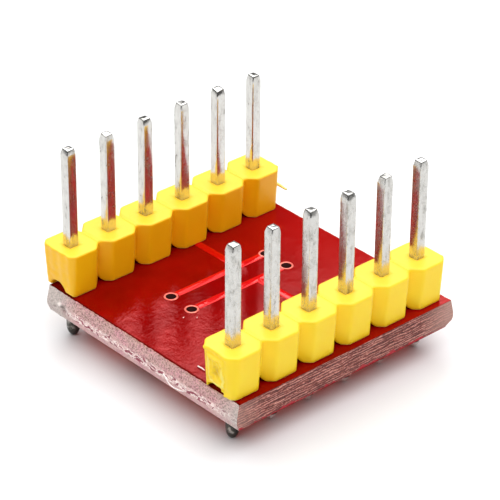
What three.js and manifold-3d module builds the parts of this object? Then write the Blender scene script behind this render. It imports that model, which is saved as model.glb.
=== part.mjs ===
// Stepper driver module: a small square circuit board with two rows of square header pins
// standing on one face, and the driver chip with its chip capacitors and resistors on the other.
//
// Units are millimetres. +Z is up, +X runs along both header rows and +Y points from the right
// row to the left row. The module stands on the tips of its soldered pin tails at Z = 0, with
// its components facing down, and the origin is at the bottom centre of the whole module.
import * as THREE from 'three';
import { ConvexGeometry } from 'three/addons/geometries/ConvexGeometry.js';
import { mergeVertices } from 'three/addons/utils/BufferGeometryUtils.js';
import Module from 'manifold-3d';

// ---- Driving dimensions ----------------------------------------------------------------------

// Header rows
const PITCH = 2.54;
const PINS_PER_ROW = 6;
const ROW_SPACING = 12.7;

// Header pins, square with lightly rounded corners and a four-sided taper at each end
const PIN_TOP = 11.2;
const PIN_TAIL_END = 0.1;
const PIN_WIDTH = 0.6;
const PIN_CORNER = 0.06;
const PIN_TIP_WIDTH = 0.44;
const PIN_TIP_TAPER = 0.36;
const PIN_TAIL_WIDTH = 0.3;
const PIN_TAIL_TAPER = 0.42;

// Header housings: eight-sided cells joined by webs, with rounded feet under every web and an
// arched vault that runs along the underside of the strip
const HOUSING_HEIGHT = 2.54;
const CELL_TOP_WIDTH = 2.58;
const CELL_FOOT_WIDTH = 2.24;
const CELL_CORNER = 0.57;
const WEB_OVERLAP = 0.01;
const FOOT_ROUND_LENGTH = 0.4;
const FOOT_ROUND_HEIGHT = 0.5;
const VAULT_WIDTH = 1.0;
const VAULT_HEIGHT = 0.5;
const TOP_EDGE = 0.06;
const SNAP_GROOVE_WIDTH = 0.4;
const SNAP_GROOVE_DEPTH = 0.06;
const PIN_FIT_GAP = 0.02;

// How far each strip reaches past its first and its last pin, where it was broken off
const STRIP_ENDS = { left: [1.03, 1.15], right: [1.25, 1.1] };
const STRIP_END_LEAN = 0.18;

// Circuit board: its upper face, and the edge left by a V-score that was snapped apart
const TAIL_BELOW_UPPER_FACE = 3.0;
const BOARD_THICKNESS = 1.52;
const BOARD_LENGTH = 14.8;
const BOARD_WIDTH = 14.97;
const BOARD_SHIFT_X = 0.185;
const BOARD_SHIFT_Y = -0.315;
const EDGE_BULGE_X = 0.17;
const EDGE_BULGE_Y = 0.04;
const RIDGE_DEPTH = 0.86;
const RIDGE_HEIGHT = 0.16;

// Holes, plated vias and copper tracks
const PIN_HOLE_DIAMETER = 1.02;
const VIA_BORE_DIAMETER = 0.56;
const VIA_WALL = 0.04;
const VIA_RING_DIAMETER = 0.88;
const COPPER_THICKNESS = 0.035;
const TRACK_WIDTH = 0.48;
const TRACK_GAP = 0.02;
const STUB_X = 1.42;
const VIA_X = [-3.2, 3.45];
const UPPER_TRACK_Y = 2.05;
const LOWER_TRACK_Y = 0.4;

// Solder joints around the pin tails
const SOLDER_BASE_DIAMETER = 1.75;
const SOLDER_SLEEVE_DIAMETER = 0.9;
const SOLDER_FLAT_DIAMETER = 0.36;
const SOLDER_DOME_HEIGHT = 0.42;
const SOLDER_PLUG_HEIGHT = 1.4;
const SOLDER_GAP = 0.02;
const SOLDER_DOME_STEPS = 3;
const SOLDER_FILLET_STEPS = 4;

// Driver chip: a sixteen-lead thin shrink small-outline package with a pad underneath
const CHIP_CENTRE = [0.1, -0.2];
const CHIP_LENGTH = 5.0;
const CHIP_WIDTH = 4.4;
const CHIP_HEIGHT = 1.0;
const CHIP_STANDOFF = 0.1;
const CHIP_DRAFT = 0.07;
const CHIP_MARK_DIAMETER = 0.6;
const CHIP_MARK_DEPTH = 0.08;
const CHIP_MARK_INSET = [1.1, 1.0];
const LEADS_PER_SIDE = 8;
const LEAD_PITCH = 0.65;
const LEAD_WIDTH = 0.25;
const LEAD_THICKNESS = 0.15;
const LEAD_SPAN = 6.4;
const LEAD_FOOT = 0.6;
const LEAD_SHOULDER = 0.2;
const LEAD_BEND = 0.06;
const THERMAL_PAD = [3.0, 2.4];

// Chip capacitors and resistors: length, width and height of the usual sizes
const SIZE_0805 = [2.0, 1.25, 1.0];
const SIZE_0603 = [1.6, 0.8, 0.8];
const RESISTOR_0603 = [1.6, 0.8, 0.45];
const TERMINAL_LENGTH = 0.32;
const TERMINAL_LIP = 0.03;

const ROUND_SIDES = 24;
const SMALL_ROUND_SIDES = 16;
const ARCH_STEPS = 5;

// How far a cutting shape reaches past the solid it cuts, and how close points must be to merge
const CUT_MARGIN = 1;
const MERGE_DISTANCE = 1e-5;

// ---- Derived places ---------------------------------------------------------------------------

const BOARD_TOP = TAIL_BELOW_UPPER_FACE;
const BOARD_UNDERSIDE = BOARD_TOP - BOARD_THICKNESS;
const ROW_Y = { left: ROW_SPACING / 2, right: -ROW_SPACING / 2 };
const LAST_PIN_X = ((PINS_PER_ROW - 1) * PITCH) / 2;
const STRIP_REACH_LOW = LAST_PIN_X + Math.max(STRIP_ENDS.left[0], STRIP_ENDS.right[0]);
const STRIP_REACH_HIGH = LAST_PIN_X + Math.max(STRIP_ENDS.left[1], STRIP_ENDS.right[1]);
const LOW_X = Math.min(-STRIP_REACH_LOW, BOARD_SHIFT_X - BOARD_LENGTH / 2 - EDGE_BULGE_X);
const HIGH_X = Math.max(STRIP_REACH_HIGH, BOARD_SHIFT_X + BOARD_LENGTH / 2 + EDGE_BULGE_X);
const ROW_OUTER = ROW_SPACING / 2 + CELL_TOP_WIDTH / 2;
const LOW_Y = Math.min(-ROW_OUTER, BOARD_SHIFT_Y - BOARD_WIDTH / 2 - EDGE_BULGE_Y);
const HIGH_Y = Math.max(ROW_OUTER, BOARD_SHIFT_Y + BOARD_WIDTH / 2 + EDGE_BULGE_Y);

// ---- Materials --------------------------------------------------------------------------------

function finish(color, roughness, metalness) {
  return new THREE.MeshStandardMaterial({ color, roughness, metalness });
}

const boardFinish = finish(0xa50f12, 0.3, 0.0);
const housingFinish = finish(0xf5d418, 0.45, 0.0);
const pinFinish = finish(0xc9c7bf, 0.35, 1.0);
const solderFinish = finish(0x8f9194, 0.3, 1.0);
const copperFinish = finish(0xd8523c, 0.35, 0.6);
const chipFinish = finish(0x1c1d1f, 0.6, 0.0);
const leadFinish = finish(0xb8babd, 0.35, 1.0);
const ceramicFinish = finish(0xa98a62, 0.5, 0.0);
const resistorFinish = finish(0x18191b, 0.35, 0.0);

// ---- Solid helpers ----------------------------------------------------------------------------

const wasm = await Module();
wasm.setup();

function toSolid(geometry) {
  const bare = geometry.clone();
  bare.deleteAttribute('normal');
  bare.deleteAttribute('uv');
  const merged = mergeVertices(bare, MERGE_DISTANCE);
  const vertProperties = new Float32Array(merged.attributes.position.array);
  const triVerts = new Uint32Array(merged.index.array);
  return new wasm.Manifold(new wasm.Mesh({ numProp: 3, vertProperties, triVerts }));
}

function toGeometry(solid) {
  const mesh = solid.getMesh();
  const geometry = new THREE.BufferGeometry();
  geometry.setAttribute('position', new THREE.BufferAttribute(mesh.vertProperties, 3));
  geometry.setIndex(new THREE.BufferAttribute(mesh.triVerts, 1));
  geometry.computeVertexNormals();
  return geometry;
}

function boxSolid(low, high) {
  const size = high.map((value, i) => value - low[i]);
  const geometry = new THREE.BoxGeometry(...size);
  geometry.translate(...low.map((value, i) => value + size[i] / 2));
  return toSolid(geometry);
}

function cylinderSolid(diameter, lowZ, highZ, sides) {
  const geometry = new THREE.CylinderGeometry(diameter / 2, diameter / 2, highZ - lowZ, sides);
  geometry.rotateX(Math.PI / 2);
  geometry.translate(0, 0, (lowZ + highZ) / 2);
  return toSolid(geometry);
}

// A ring around Z from a closed outline of [radius, z] points.
function ringGeometry(outline, sides) {
  const points = outline.map(([radius, z]) => new THREE.Vector2(radius, z));
  points.push(points[0].clone());
  const geometry = new THREE.LatheGeometry(points, sides);
  geometry.rotateX(Math.PI / 2);
  return geometry;
}

// A convex solid through flat rings of points, each ring [halfLength, halfWidth, corner, z].
// A corner of zero gives a rectangle, any other gives an eight-sided outline.
function ringPoints([halfLength, halfWidth, corner, z]) {
  const points = [];
  for (const sx of [-1, 1]) {
    for (const sy of [-1, 1]) {
      points.push(new THREE.Vector3(sx * halfLength, sy * (halfWidth - corner), z));
      if (corner > 0) {
        points.push(new THREE.Vector3(sx * (halfLength - corner), sy * halfWidth, z));
      }
    }
  }
  return points;
}

function stackedGeometry(rings) {
  return new ConvexGeometry(rings.flatMap(ringPoints));
}

// ---- Header pins ------------------------------------------------------------------------------

function pinGeometry() {
  const half = PIN_WIDTH / 2;
  const tailHalf = PIN_TAIL_WIDTH / 2;
  const tipHalf = PIN_TIP_WIDTH / 2;
  return stackedGeometry([
    [tailHalf, tailHalf, PIN_CORNER, PIN_TAIL_END],
    [half, half, PIN_CORNER, PIN_TAIL_END + PIN_TAIL_TAPER],
    [half, half, PIN_CORNER, PIN_TOP - PIN_TIP_TAPER],
    [tipHalf, tipHalf, PIN_CORNER, PIN_TOP],
  ]);
}

// ---- Header housings --------------------------------------------------------------------------

function cellHalfWidth(z) {
  const slope = (CELL_TOP_WIDTH - CELL_FOOT_WIDTH) / HOUSING_HEIGHT;
  return (CELL_FOOT_WIDTH + slope * z) / 2;
}

// One cell around its pin, as long as the pitch, before its underside and broken ends are cut.
function cellSolid() {
  const halfLength = PITCH / 2 + WEB_OVERLAP;
  const levels = [0, HOUSING_HEIGHT - TOP_EDGE];
  const rings = levels.map((z) => [halfLength, cellHalfWidth(z), CELL_CORNER, z]);
  const topHalf = cellHalfWidth(HOUSING_HEIGHT) - TOP_EDGE;
  rings.push([halfLength, topHalf, CELL_CORNER, HOUSING_HEIGHT]);
  return toSolid(stackedGeometry(rings));
}

// A shape drawn in X and Z, drawn out along Y to both sides of the strip's middle.
function crosswiseSolid(profile, depth = 2 * CELL_TOP_WIDTH) {
  const options = { depth, bevelEnabled: false, curveSegments: ARCH_STEPS };
  const geometry = new THREE.ExtrudeGeometry(profile, options);
  geometry.rotateX(Math.PI / 2);
  geometry.translate(0, depth / 2, 0);
  return toSolid(geometry);
}

// The notch under a web, between the rounded feet of two cells.
function footNotchSolid() {
  const length = FOOT_ROUND_LENGTH;
  const height = FOOT_ROUND_HEIGHT;
  const quarter = Math.PI / 2;
  const profile = new THREE.Shape();
  profile.moveTo(-length, -CUT_MARGIN);
  profile.lineTo(length, -CUT_MARGIN);
  profile.lineTo(length, 0);
  profile.absellipse(length, height, length, height, -quarter, -2 * quarter, true, 0);
  profile.absellipse(-length, height, length, height, 0, -quarter, true, 0);
  profile.lineTo(-length, -CUT_MARGIN);
  return crosswiseSolid(profile);
}

// The arched vault under the whole strip, which shows as an arch on both broken ends.
function vaultSolid() {
  const half = VAULT_WIDTH / 2;
  const profile = new THREE.Shape();
  profile.moveTo(-half, -CUT_MARGIN);
  profile.lineTo(half, -CUT_MARGIN);
  profile.lineTo(half, 0);
  profile.absellipse(0, 0, half, VAULT_HEIGHT, 0, Math.PI, false, 0);
  profile.lineTo(-half, -CUT_MARGIN);
  return crosswiseSolid(profile, 2 * PINS_PER_ROW * PITCH).rotate(0, 0, 90);
}

// A shallow V across the top of the strip, where it is meant to be snapped.
function grooveSolid() {
  const half = SNAP_GROOVE_WIDTH / 2;
  return crosswiseSolid(new THREE.Shape([
    new THREE.Vector2(-half, HOUSING_HEIGHT + SNAP_GROOVE_DEPTH),
    new THREE.Vector2(0, HOUSING_HEIGHT - SNAP_GROOVE_DEPTH),
    new THREE.Vector2(half, HOUSING_HEIGHT + SNAP_GROOVE_DEPTH),
  ]));
}

// What is left of the strip after its outer webs were broken off: both ends lean inwards.
function stripEnvelope([lowEnd, highEnd]) {
  const topLow = -LAST_PIN_X - lowEnd;
  const topHigh = LAST_PIN_X + highEnd;
  const outline = new THREE.Shape([
    new THREE.Vector2(topLow + STRIP_END_LEAN, 0),
    new THREE.Vector2(topHigh - STRIP_END_LEAN, 0),
    new THREE.Vector2(topHigh, HOUSING_HEIGHT),
    new THREE.Vector2(topLow, HOUSING_HEIGHT),
  ]);
  return crosswiseSolid(outline);
}

function pinPlaces() {
  const places = [];
  for (let i = 0; i < PINS_PER_ROW; i += 1) {
    places.push((i - (PINS_PER_ROW - 1) / 2) * PITCH);
  }
  return places;
}

function housingGeometry(ends) {
  const cell = cellSolid();
  const footNotch = footNotchSolid();
  const groove = grooveSolid();
  const holeHalf = PIN_WIDTH / 2 + PIN_FIT_GAP;
  const hole = boxSolid(
    [-holeHalf, -holeHalf, -CUT_MARGIN],
    [holeHalf, holeHalf, HOUSING_HEIGHT + CUT_MARGIN],
  );
  const places = pinPlaces();
  let strip = cell.translate(places[0], 0, 0);
  for (const x of places.slice(1)) {
    strip = strip.add(cell.translate(x, 0, 0));
    strip = strip.subtract(groove.translate(x - PITCH / 2, 0, 0));
    strip = strip.subtract(footNotch.translate(x - PITCH / 2, 0, 0));
  }
  strip = strip.intersect(stripEnvelope(ends));
  for (const x of places) {
    strip = strip.subtract(hole.translate(x, 0, 0));
  }
  return toGeometry(strip.subtract(vaultSolid()));
}

// ---- Circuit board ----------------------------------------------------------------------------

function viaPlaces() {
  const places = [];
  for (const y of [UPPER_TRACK_Y, LOWER_TRACK_Y]) {
    for (const x of VIA_X) {
      places.push([x, y]);
    }
  }
  return places;
}

function boardGeometry() {
  const halfX = BOARD_LENGTH / 2;
  const halfY = BOARD_WIDTH / 2;
  const ridgeTop = BOARD_TOP - RIDGE_DEPTH;
  const slab = stackedGeometry([
    [halfX, halfY, 0, BOARD_TOP],
    [halfX + EDGE_BULGE_X, halfY + EDGE_BULGE_Y, 0, ridgeTop],
    [halfX + EDGE_BULGE_X, halfY + EDGE_BULGE_Y, 0, ridgeTop - RIDGE_HEIGHT],
    [halfX, halfY, 0, BOARD_UNDERSIDE],
  ]);
  slab.translate(BOARD_SHIFT_X, BOARD_SHIFT_Y, 0);
  let board = toSolid(slab);
  const below = BOARD_UNDERSIDE - CUT_MARGIN;
  const above = BOARD_TOP + CUT_MARGIN;
  const pinHole = cylinderSolid(PIN_HOLE_DIAMETER, below, above, ROUND_SIDES);
  for (const y of Object.values(ROW_Y)) {
    for (const x of pinPlaces()) {
      board = board.subtract(pinHole.translate(x, y, 0));
    }
  }
  const viaHoleDiameter = VIA_BORE_DIAMETER + 2 * VIA_WALL;
  const viaHole = cylinderSolid(viaHoleDiameter, below, above, SMALL_ROUND_SIDES);
  for (const [x, y] of viaPlaces()) {
    board = board.subtract(viaHole.translate(x, y, 0));
  }
  return toGeometry(board);
}

// A plated hole: a thin copper barrel with a flat ring on each face of the board.
function viaGeometry() {
  const bore = VIA_BORE_DIAMETER / 2;
  const barrel = bore + VIA_WALL;
  const ring = VIA_RING_DIAMETER / 2;
  return ringGeometry([
    [bore, BOARD_TOP + COPPER_THICKNESS],
    [bore, BOARD_UNDERSIDE - COPPER_THICKNESS],
    [ring, BOARD_UNDERSIDE - COPPER_THICKNESS],
    [ring, BOARD_UNDERSIDE],
    [barrel, BOARD_UNDERSIDE],
    [barrel, BOARD_TOP],
    [ring, BOARD_TOP],
    [ring, BOARD_TOP + COPPER_THICKNESS],
  ], SMALL_ROUND_SIDES);
}

// A copper track on the upper face that joins two vias, with a stub to the fourth pin of a row.
function trackGeometry(trackY, stubEndY) {
  const half = TRACK_WIDTH / 2;
  const top = BOARD_TOP + COPPER_THICKNESS;
  const [lowX, highX] = VIA_X;
  const run = boxSolid([lowX, trackY - half, BOARD_TOP], [highX, trackY + half, top]);
  const stubLow = Math.min(trackY, stubEndY);
  const stubHigh = Math.max(trackY, stubEndY);
  const stub = boxSolid([STUB_X - half, stubLow, BOARD_TOP], [STUB_X + half, stubHigh, top]);
  let track = run.add(stub);
  const clearDiameter = VIA_RING_DIAMETER + 2 * TRACK_GAP;
  const below = BOARD_TOP - CUT_MARGIN;
  const clear = cylinderSolid(clearDiameter, below, top + CUT_MARGIN, SMALL_ROUND_SIDES);
  for (const x of VIA_X) {
    track = track.subtract(clear.translate(x, trackY, 0));
  }
  return toGeometry(track);
}

// ---- Solder joints ----------------------------------------------------------------------------

// Solder that covers one square pin tail: a rounded end that the module stands on, a fillet up
// to the board's underside, and the plug that fills the hole above it. The pocket that holds
// the pin is open at the top.
function solderGeometry() {
  const base = SOLDER_BASE_DIAMETER / 2;
  const sleeve = SOLDER_SLEEVE_DIAMETER / 2;
  const flat = SOLDER_FLAT_DIAMETER / 2;
  const plug = PIN_HOLE_DIAMETER / 2 - SOLDER_GAP;
  const profile = [new THREE.Vector2(0, 0)];
  for (let i = 0; i <= SOLDER_DOME_STEPS; i += 1) {
    const angle = (i / SOLDER_DOME_STEPS) * (Math.PI / 2);
    const radius = flat + (sleeve - flat) * Math.sin(angle);
    profile.push(new THREE.Vector2(radius, SOLDER_DOME_HEIGHT * (1 - Math.cos(angle))));
  }
  const filletHeight = BOARD_UNDERSIDE - SOLDER_DOME_HEIGHT;
  for (let i = 1; i <= SOLDER_FILLET_STEPS; i += 1) {
    const t = i / SOLDER_FILLET_STEPS;
    const radius = sleeve + (base - sleeve) * t ** 3;
    profile.push(new THREE.Vector2(radius, SOLDER_DOME_HEIGHT + filletHeight * t));
  }
  profile.push(new THREE.Vector2(plug, BOARD_UNDERSIDE));
  profile.push(new THREE.Vector2(plug, BOARD_UNDERSIDE + SOLDER_PLUG_HEIGHT));
  profile.push(new THREE.Vector2(0, BOARD_UNDERSIDE + SOLDER_PLUG_HEIGHT));
  const geometry = new THREE.LatheGeometry(profile, SMALL_ROUND_SIDES);
  geometry.rotateX(Math.PI / 2);
  const half = PIN_WIDTH / 2 + SOLDER_GAP;
  const tailHalf = PIN_TAIL_WIDTH / 2 + SOLDER_GAP;
  const pocket = toSolid(stackedGeometry([
    [tailHalf, tailHalf, PIN_CORNER, PIN_TAIL_END - SOLDER_GAP],
    [half, half, PIN_CORNER, PIN_TAIL_END + PIN_TAIL_TAPER - SOLDER_GAP],
    [half, half, PIN_CORNER, BOARD_TOP + CUT_MARGIN],
  ]));
  return toGeometry(toSolid(geometry).subtract(pocket));
}

// ---- Driver chip ------------------------------------------------------------------------------

// The chip hangs under the board, so its own heights are measured down from the underside.
function chipBodyGeometry() {
  const halfX = CHIP_LENGTH / 2;
  const halfY = CHIP_WIDTH / 2;
  const seat = BOARD_UNDERSIDE - CHIP_STANDOFF;
  const face = seat - CHIP_HEIGHT;
  const parting = (seat + face) / 2;
  const body = toSolid(stackedGeometry([
    [halfX - CHIP_DRAFT, halfY - CHIP_DRAFT, 0, seat],
    [halfX, halfY, 0, parting + LEAD_THICKNESS / 2],
    [halfX, halfY, 0, parting - LEAD_THICKNESS / 2],
    [halfX - CHIP_DRAFT, halfY - CHIP_DRAFT, 0, face],
  ]));
  const markTop = face + CHIP_MARK_DEPTH;
  const mark = cylinderSolid(CHIP_MARK_DIAMETER, face - CUT_MARGIN, markTop, ROUND_SIDES);
  const [insetX, insetY] = CHIP_MARK_INSET;
  return toGeometry(body.subtract(mark.translate(insetX - halfX, insetY - halfY, 0)));
}

// One gull-wing lead, drawn in the Y-Z plane and extruded across its width. It leaves the body
// at half height, bends up to the board and ends in a flat foot on the copper.
function leadGeometry() {
  const start = CHIP_WIDTH / 2;
  const end = LEAD_SPAN / 2;
  const heel = end - LEAD_FOOT;
  const footTop = BOARD_UNDERSIDE;
  const footLow = footTop - LEAD_THICKNESS;
  const parting = BOARD_UNDERSIDE - CHIP_STANDOFF - CHIP_HEIGHT / 2;
  const shoulderTop = parting + LEAD_THICKNESS / 2;
  const shoulderLow = parting - LEAD_THICKNESS / 2;
  const knee = start + LEAD_SHOULDER;
  const profile = new THREE.Shape([
    new THREE.Vector2(start, shoulderLow),
    new THREE.Vector2(knee + LEAD_BEND, shoulderLow),
    new THREE.Vector2(knee + LEAD_THICKNESS, shoulderLow + LEAD_BEND),
    new THREE.Vector2(heel + LEAD_THICKNESS, footLow),
    new THREE.Vector2(end, footLow),
    new THREE.Vector2(end, footTop),
    new THREE.Vector2(heel, footTop),
    new THREE.Vector2(heel - LEAD_BEND, footTop - LEAD_BEND),
    new THREE.Vector2(knee, shoulderTop),
    new THREE.Vector2(start, shoulderTop),
  ]);
  const options = { depth: LEAD_WIDTH, bevelEnabled: false };
  const geometry = new THREE.ExtrudeGeometry(profile, options);
  const profileToWorld = new THREE.Matrix4().makeBasis(
    new THREE.Vector3(0, 1, 0),
    new THREE.Vector3(0, 0, 1),
    new THREE.Vector3(1, 0, 0),
  );
  geometry.applyMatrix4(profileToWorld);
  geometry.translate(-LEAD_WIDTH / 2, 0, 0);
  return geometry;
}

function thermalPadGeometry() {
  const [length, width] = THERMAL_PAD;
  const geometry = new THREE.BoxGeometry(length, width, CHIP_STANDOFF);
  geometry.translate(0, 0, BOARD_UNDERSIDE - CHIP_STANDOFF / 2);
  return geometry;
}

// ---- Chip capacitors and resistors ------------------------------------------------------------

// A ceramic block with a slightly thicker metal cap on each end, one solid, hung under the board.
function chipPartGeometry([length, width, height]) {
  const top = BOARD_UNDERSIDE;
  const lip = TERMINAL_LIP;
  const halfY = width / 2;
  const bodyHalf = length / 2;
  const low = [-bodyHalf, lip - halfY, top - height + lip];
  const high = [bodyHalf, halfY - lip, top - lip];
  const block = boxSolid(low, high);
  const innerX = bodyHalf - TERMINAL_LENGTH;
  const first = boxSolid([-bodyHalf, -halfY, top - height], [-innerX, halfY, top]);
  const second = boxSolid([innerX, -halfY, top - height], [bodyHalf, halfY, top]);
  return toGeometry(block.add(first).add(second));
}

// ---- Assembly ---------------------------------------------------------------------------------

const module = new THREE.Group();
module.position.set(-(LOW_X + HIGH_X) / 2, -(LOW_Y + HIGH_Y) / 2, 0);

function addPiece(name, geometry, material, position, turn = 0) {
  const mesh = new THREE.Mesh(geometry, material);
  mesh.name = name;
  mesh.position.set(...position);
  mesh.rotation.z = turn;
  module.add(mesh);
}

addPiece('circuit_board', boardGeometry(), boardFinish, [0, 0, 0]);

for (const [side, y] of Object.entries(ROW_Y)) {
  addPiece(`header_housing_${side}`, housingGeometry(STRIP_ENDS[side]), housingFinish, [0, y, BOARD_TOP]);
  pinPlaces().forEach((x, i) => {
    addPiece(`header_pin_${side}_${i + 1}`, pinGeometry(), pinFinish, [x, y, 0]);
    addPiece(`solder_joint_${side}_${i + 1}`, solderGeometry(), solderFinish, [x, y, 0]);
  });
}

viaPlaces().forEach(([x, y], i) => {
  addPiece(`plated_via_${i + 1}`, viaGeometry(), copperFinish, [x, y, 0]);
});

const stubReach = ROW_SPACING / 2 - PIN_HOLE_DIAMETER;
addPiece('copper_track_left', trackGeometry(UPPER_TRACK_Y, stubReach), copperFinish, [0, 0, 0]);
addPiece('copper_track_right', trackGeometry(LOWER_TRACK_Y, -stubReach), copperFinish, [0, 0, 0]);

const [chipX, chipY] = CHIP_CENTRE;
addPiece('driver_chip_body', chipBodyGeometry(), chipFinish, [chipX, chipY, 0]);
addPiece('driver_chip_thermal_pad', thermalPadGeometry(), leadFinish, [chipX, chipY, 0]);
for (let i = 0; i < 2 * LEADS_PER_SIDE; i += 1) {
  const column = i % LEADS_PER_SIDE;
  const turn = i < LEADS_PER_SIDE ? 0 : Math.PI;
  const across = (column - (LEADS_PER_SIDE - 1) / 2) * LEAD_PITCH;
  const x = chipX + (turn === 0 ? across : -across);
  addPiece(`driver_chip_lead_${i + 1}`, leadGeometry(), leadFinish, [x, chipY, 0], turn);
}

const QUARTER = Math.PI / 2;
const chipParts = [
  ['supply_capacitor', SIZE_0805, ceramicFinish, [5.6, 0.6], QUARTER],
  ['charge_pump_capacitor', SIZE_0603, ceramicFinish, [5.5, -2.9], QUARTER],
  ['regulator_capacitor', SIZE_0603, ceramicFinish, [-5.3, -2.9], QUARTER],
  ['sense_resistor_a', RESISTOR_0603, resistorFinish, [-5.1, 0.9], QUARTER],
  ['sense_resistor_b', RESISTOR_0603, resistorFinish, [-6.1, 0.9], QUARTER],
  ['pull_up_resistor', RESISTOR_0603, resistorFinish, [0.4, 4.2], 0],
];
for (const [name, size, material, [x, y], turn] of chipParts) {
  addPiece(name, chipPartGeometry(size), material, [x, y, 0], turn);
}

export default module;
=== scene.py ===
import itertools
import math
import random
from collections import namedtuple

import bmesh
import bpy
import numpy as np
from mathutils import Matrix, Vector, noise


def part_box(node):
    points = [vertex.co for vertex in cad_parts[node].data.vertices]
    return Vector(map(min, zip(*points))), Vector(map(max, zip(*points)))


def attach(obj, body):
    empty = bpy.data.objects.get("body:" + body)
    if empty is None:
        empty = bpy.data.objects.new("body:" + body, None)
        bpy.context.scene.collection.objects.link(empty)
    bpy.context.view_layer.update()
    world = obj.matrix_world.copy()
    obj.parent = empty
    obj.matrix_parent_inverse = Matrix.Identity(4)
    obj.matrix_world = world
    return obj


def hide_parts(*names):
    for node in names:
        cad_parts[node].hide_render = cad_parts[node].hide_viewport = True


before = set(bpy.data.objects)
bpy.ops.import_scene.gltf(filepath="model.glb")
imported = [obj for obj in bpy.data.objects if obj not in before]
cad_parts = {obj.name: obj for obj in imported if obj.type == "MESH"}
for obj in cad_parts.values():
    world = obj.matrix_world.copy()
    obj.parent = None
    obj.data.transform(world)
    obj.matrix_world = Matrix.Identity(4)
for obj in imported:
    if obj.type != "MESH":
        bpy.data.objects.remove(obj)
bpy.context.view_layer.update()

# A stepper driver module that stands upside down on its soldered pin tails. Meshes are built in
# millimetres in the frame's own axes, and scaled to metres when they become objects.
MM = 0.001
SIDES = ("left", "right")
PIN_NUMBERS = range(1, 7)
VIA_NUMBERS = range(1, 5)
LEAD_NUMBERS = range(1, 17)


def box_mm(node):
    """Lowest and highest corner of a CAD node, in millimetres."""
    low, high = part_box(node)
    return np.array(low) / MM, np.array(high) / MM


BOARD_LOW, BOARD_HIGH = box_mm("circuit_board")
BOARD_TOP = BOARD_HIGH[2]
BOARD_UNDERSIDE = BOARD_LOW[2]
BOARD_CENTRE = (BOARD_LOW + BOARD_HIGH) / 2
UPPER_HALF_X = 14.8 / 2
UPPER_HALF_Y = 14.97 / 2
PIN_BOXES = {(side, i): box_mm(f"header_pin_{side}_{i}") for side in SIDES for i in PIN_NUMBERS}
PIN_CENTRES = {key: (low + high) / 2 for key, (low, high) in PIN_BOXES.items()}
ROWS_CENTRE = np.mean(list(PIN_CENTRES.values()), axis=0)


# ---- Camera -----------------------------------------------------------------------------------

CAMERA_AZIMUTH = -42.125
CAMERA_ELEVATION = 30.756
CAMERA_ROLL = 0.499
CAMERA_DISTANCE = 132.234
CAMERA_SIDE = -0.345
CAMERA_DROP = -0.426
CAMERA_AIM_HEIGHT = 3.0
CAMERA_LENS = 183.94
CAMERA_SENSOR = 36.0


def heading(azimuth, elevation):
    """A unit vector, from degrees anticlockwise of +Y and degrees above the horizon."""
    azimuth, elevation = math.radians(azimuth), math.radians(elevation)
    return Vector((
        -math.sin(azimuth) * math.cos(elevation), math.cos(azimuth) * math.cos(elevation),
        math.sin(elevation)))


def rolled_axes(forward, roll):
    """The right-hand and upward directions across a line of sight, rolled by some degrees."""
    level = forward.cross(Vector((0, 0, 1))).normalized()
    upright = level.cross(forward)
    roll = math.radians(roll)
    return (math.cos(roll) * level + math.sin(roll) * upright,
            math.cos(roll) * upright - math.sin(roll) * level)


def make_camera():
    back = -heading(CAMERA_AZIMUTH, -CAMERA_ELEVATION)
    right, up = rolled_axes(-back, CAMERA_ROLL)
    aim = Vector((ROWS_CENTRE[0], ROWS_CENTRE[1], BOARD_TOP + CAMERA_AIM_HEIGHT))
    spot = aim - CAMERA_SIDE * right + CAMERA_DROP * up + CAMERA_DISTANCE * back
    data = bpy.data.cameras.new("camera")
    data.lens = CAMERA_LENS
    data.sensor_width = CAMERA_SENSOR
    data.clip_start = 0.01
    data.clip_end = 10.0
    turn = Matrix((right, up, back)).transposed().to_4x4()
    bpy.context.scene.camera = add_thing("camera", data, Matrix.Translation(spot * MM) @ turn)


# ---- Mesh helpers -----------------------------------------------------------------------------


def add_thing(name, data, matrix=Matrix()):
    """An object in the scene, from a mesh, a camera or a light."""
    thing = bpy.data.objects.new(name, data)
    thing.matrix_world = matrix
    bpy.context.scene.collection.objects.link(thing)
    return thing


def add_object(name, points, faces, materials, face_slots=None, smooth=True):
    """An object from points in millimetres."""
    mesh = bpy.data.meshes.new(name)
    mesh.from_pydata((np.asarray(points, float) * MM).tolist(), [], faces)
    for material in materials:
        mesh.materials.append(material)
    if face_slots is not None:
        mesh.polygons.foreach_set("material_index", face_slots)
    mesh.polygons.foreach_set("use_smooth", [smooth] * len(mesh.polygons))
    mesh.update()
    return add_thing(name, mesh)


def ring_faces(rings, count, closed_ends=True):
    """Faces between rings of equally many points, and flat ends."""
    faces = []
    for r in range(rings - 1):
        for i in range(count):
            j = (i + 1) % count
            faces.append((r * count + i, r * count + j, (r + 1) * count + j, (r + 1) * count + i))
    if closed_ends:
        faces.append(tuple(reversed(range(count))))
        faces.append(tuple(range((rings - 1) * count, rings * count)))
    return faces


def merged(parts):
    """One list of points and of faces from several pairs, and which pair each face is from."""
    points, faces, numbers = [], [], []
    for number, (more, more_faces) in enumerate(parts):
        faces += [tuple(i + len(points) for i in face) for face in more_faces]
        points += list(more)
        numbers += [number] * len(more_faces)
    return points, faces, numbers


def place(thing, slot, *nodes):
    """A finished piece rides on the one body and stands for its CAD nodes."""
    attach(thing, "root")
    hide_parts(*nodes)
    return thing


def smooth_noise(x, y, z, seed=0.0):
    return noise.noise(Vector((x, y, z + 17.3 * seed)))


# ---- Material helpers -------------------------------------------------------------------------


def node(tree, kind, inputs=None, **settings):
    made = tree.nodes.new(kind)
    for key, value in settings.items():
        setattr(made, key, value)
    for key, value in (inputs or {}).items():
        if isinstance(value, bpy.types.NodeSocket):
            tree.links.new(value, made.inputs[key])
        else:
            made.inputs[key].default_value = value
    return made


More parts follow.
